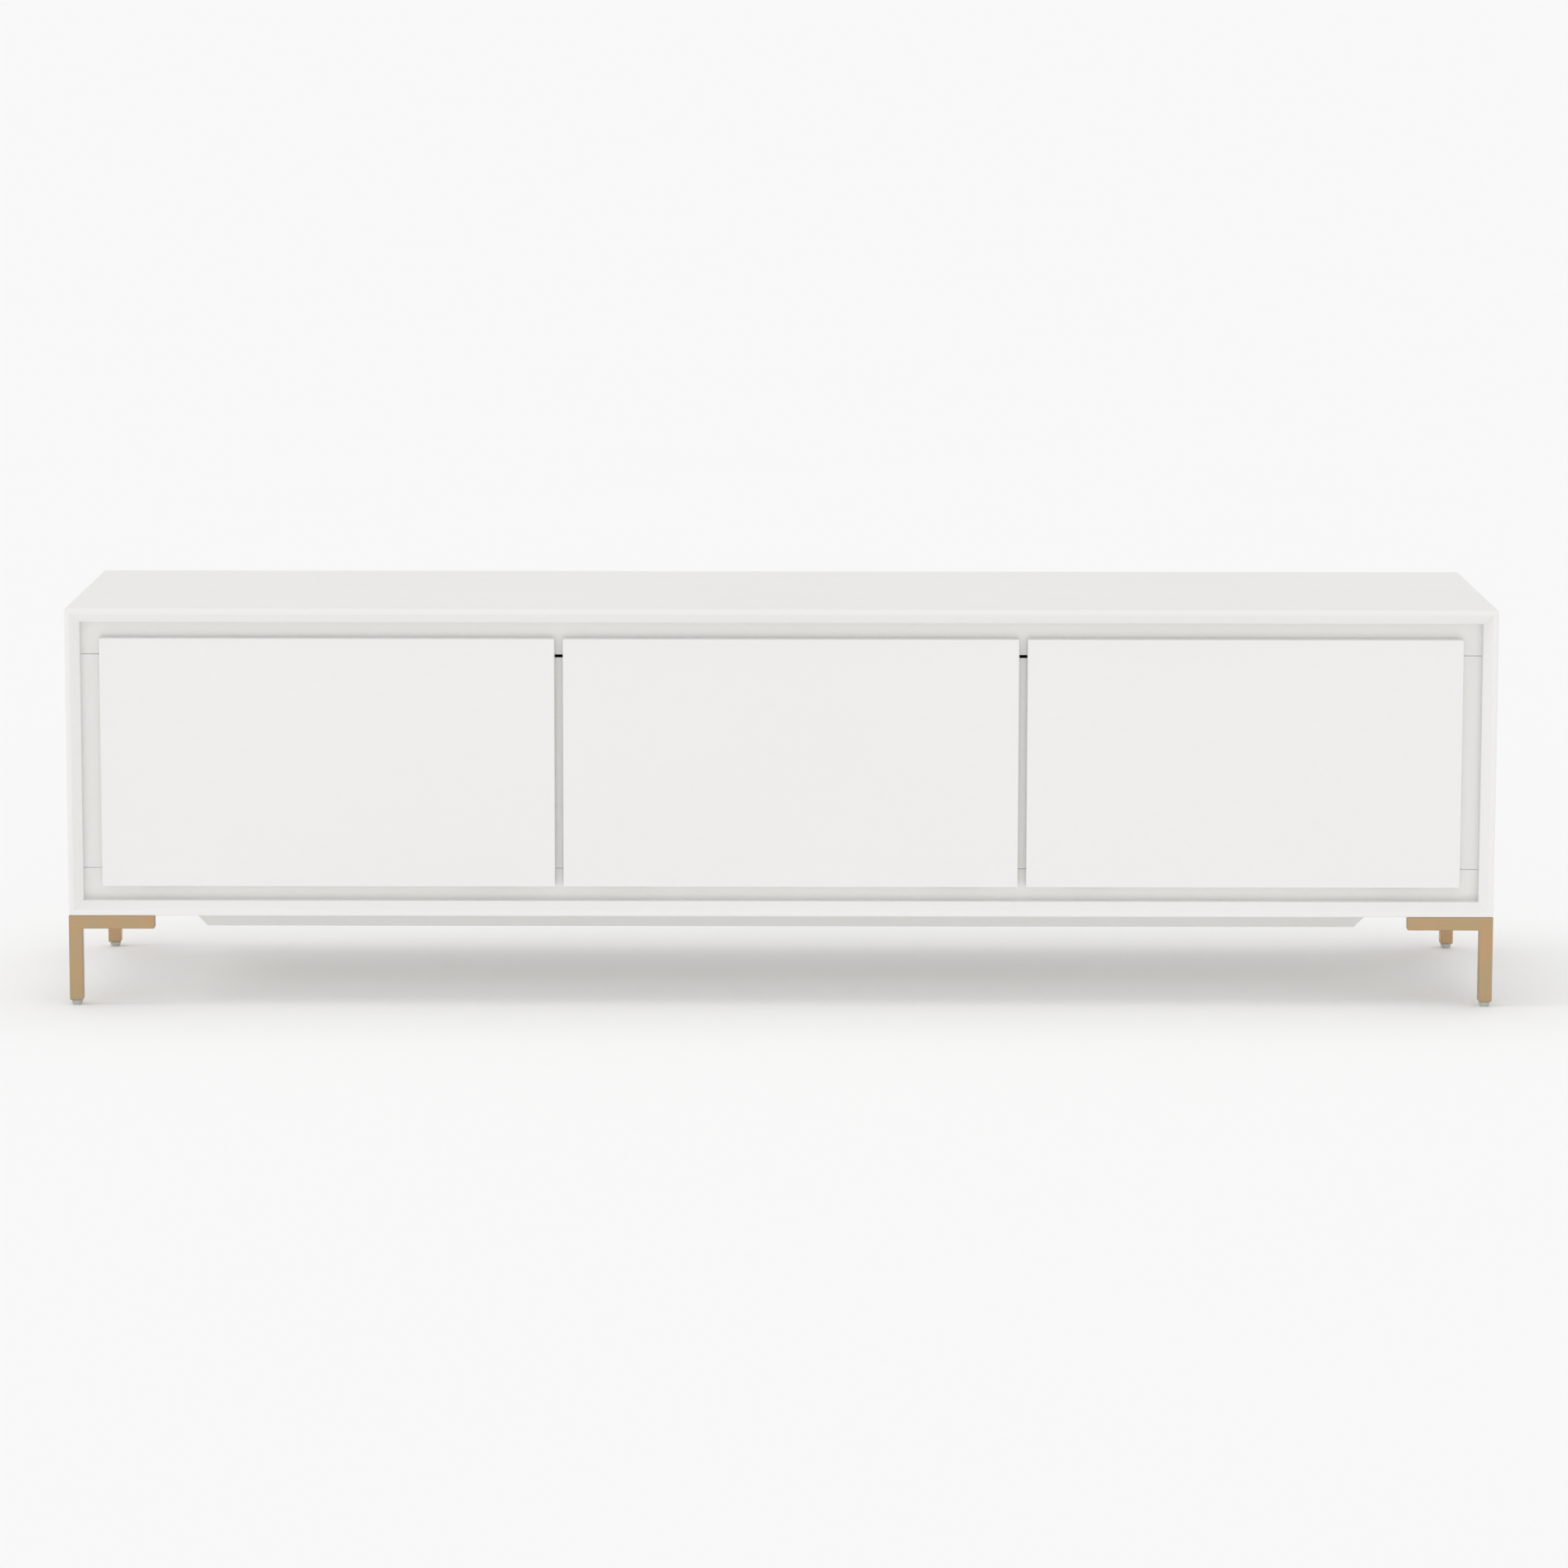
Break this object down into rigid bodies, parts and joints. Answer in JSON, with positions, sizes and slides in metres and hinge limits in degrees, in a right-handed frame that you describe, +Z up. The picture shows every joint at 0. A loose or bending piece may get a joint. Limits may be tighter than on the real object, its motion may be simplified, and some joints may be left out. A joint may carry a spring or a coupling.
{
  "type": "media cabinet",
  "caption": "Long low white media cabinet with a mitred bevelled case, slab drop-down doors, bronze corner legs and levelling glides.",
  "frame": {"origin": "on the floor, under the centre of the case", "axes": "+X to the viewer's right along the case, +Y from the doors to the back, +Z up"},
  "size_m": [2.032, 0.457, 0.571],
  "materials": {
    "white_lacquer": "satin white lacquer on board",
    "white_inside": "matt white lacquer",
    "joinery_wood": "plain birch",
    "satin_bronze": "satin champagne bronze",
    "glide_nylon": "grey nylon",
    "steel": "nickel-plated steel",
    "magnet_nickel": "nickel-plated magnet",
    "bumper_rubber": "translucent soft rubber",
    "grommet_plastic": "moulded white plastic"
  },
  "bodies": {
    "root": {"back_board_screws": "steel", "bottom_board": "white_lacquer", "bottom_rail": "white_lacquer", "cable_grommets": "grommet_plastic", "centre_back_board": "white_inside", "centre_shelf": "white_inside", "corner_splines": "joinery_wood", "divider_dowels": "joinery_wood", "door_bumpers": "bumper_rubber", "frame_hardware_screws": "steel", "frame_hinge_leaves": "steel", "front_left_leg": "satin_bronze", "front_right_leg": "satin_bronze", "hinge_pins": "steel", "left_back_board": "white_inside", "left_centre_stile": "white_lacquer", "left_divider": "white_inside", "left_shelf": "white_inside", "left_side_board": "white_lacquer", "left_stile": "white_lacquer", "leg_screws": "steel", "magnetic_catches": "magnet_nickel", "rear_left_leg": "satin_bronze", "rear_right_leg": "satin_bronze", "right_back_board": "white_inside", "right_centre_stile": "white_lacquer", "right_divider": "white_inside", "right_shelf": "white_inside", "right_side_board": "white_lacquer", "right_stile": "white_lacquer", "shelf_pins": "steel", "stay_studs": "steel", "support_rail": "white_lacquer", "support_rail_screws": "steel", "top_board": "white_lacquer", "top_rail": "white_lacquer"},
    "left_door": {"left_door": "white_lacquer", "left_door_hinge_leaves": "steel", "left_door_strike": "steel", "left_door_stay": "steel", "left_door_screws": "steel"},
    "centre_door": {"centre_door": "white_lacquer", "centre_door_hinge_leaves": "steel", "centre_door_strike": "steel", "centre_door_stay": "steel", "centre_door_screws": "steel"},
    "right_door": {"right_door": "white_lacquer", "right_door_hinge_leaves": "steel", "right_door_strike": "steel", "right_door_stay": "steel", "right_door_screws": "steel"},
    "front_left_glide": {"front_left_glide": "glide_nylon"},
    "front_right_glide": {"front_right_glide": "glide_nylon"},
    "rear_left_glide": {"rear_left_glide": "glide_nylon"},
    "rear_right_glide": {"rear_right_glide": "glide_nylon"}
  },
  "joints": [
    {"name": "left_door_hinge", "type": "hinge", "parent": "root", "child": "left_door", "pos_m": [-0.6455, -0.19925, 0.1708], "axis": [1, 0, 0], "range_deg": [0, 90]},
    {"name": "centre_door_hinge", "type": "hinge", "parent": "root", "child": "centre_door", "pos_m": [0.0135, -0.19925, 0.1708], "axis": [1, 0, 0], "range_deg": [0, 90]},
    {"name": "right_door_hinge", "type": "hinge", "parent": "root", "child": "right_door", "pos_m": [0.659, -0.19925, 0.1708], "axis": [1, 0, 0], "range_deg": [0, 90]},
    {"name": "front_left_glide_turn", "type": "hinge", "parent": "root", "child": "front_left_glide", "pos_m": [-1.0065, -0.219, 0], "axis": [0, 0, 1], "continuous": true},
    {"name": "front_right_glide_turn", "type": "hinge", "parent": "root", "child": "front_right_glide", "pos_m": [1.0065, -0.219, 0], "axis": [0, 0, 1], "continuous": true},
    {"name": "rear_left_glide_turn", "type": "hinge", "parent": "root", "child": "rear_left_glide", "pos_m": [-1.0065, 0.219, 0], "axis": [0, 0, 1], "continuous": true},
    {"name": "rear_right_glide_turn", "type": "hinge", "parent": "root", "child": "rear_right_glide", "pos_m": [1.0065, 0.219, 0], "axis": [0, 0, 1], "continuous": true}
  ]
}
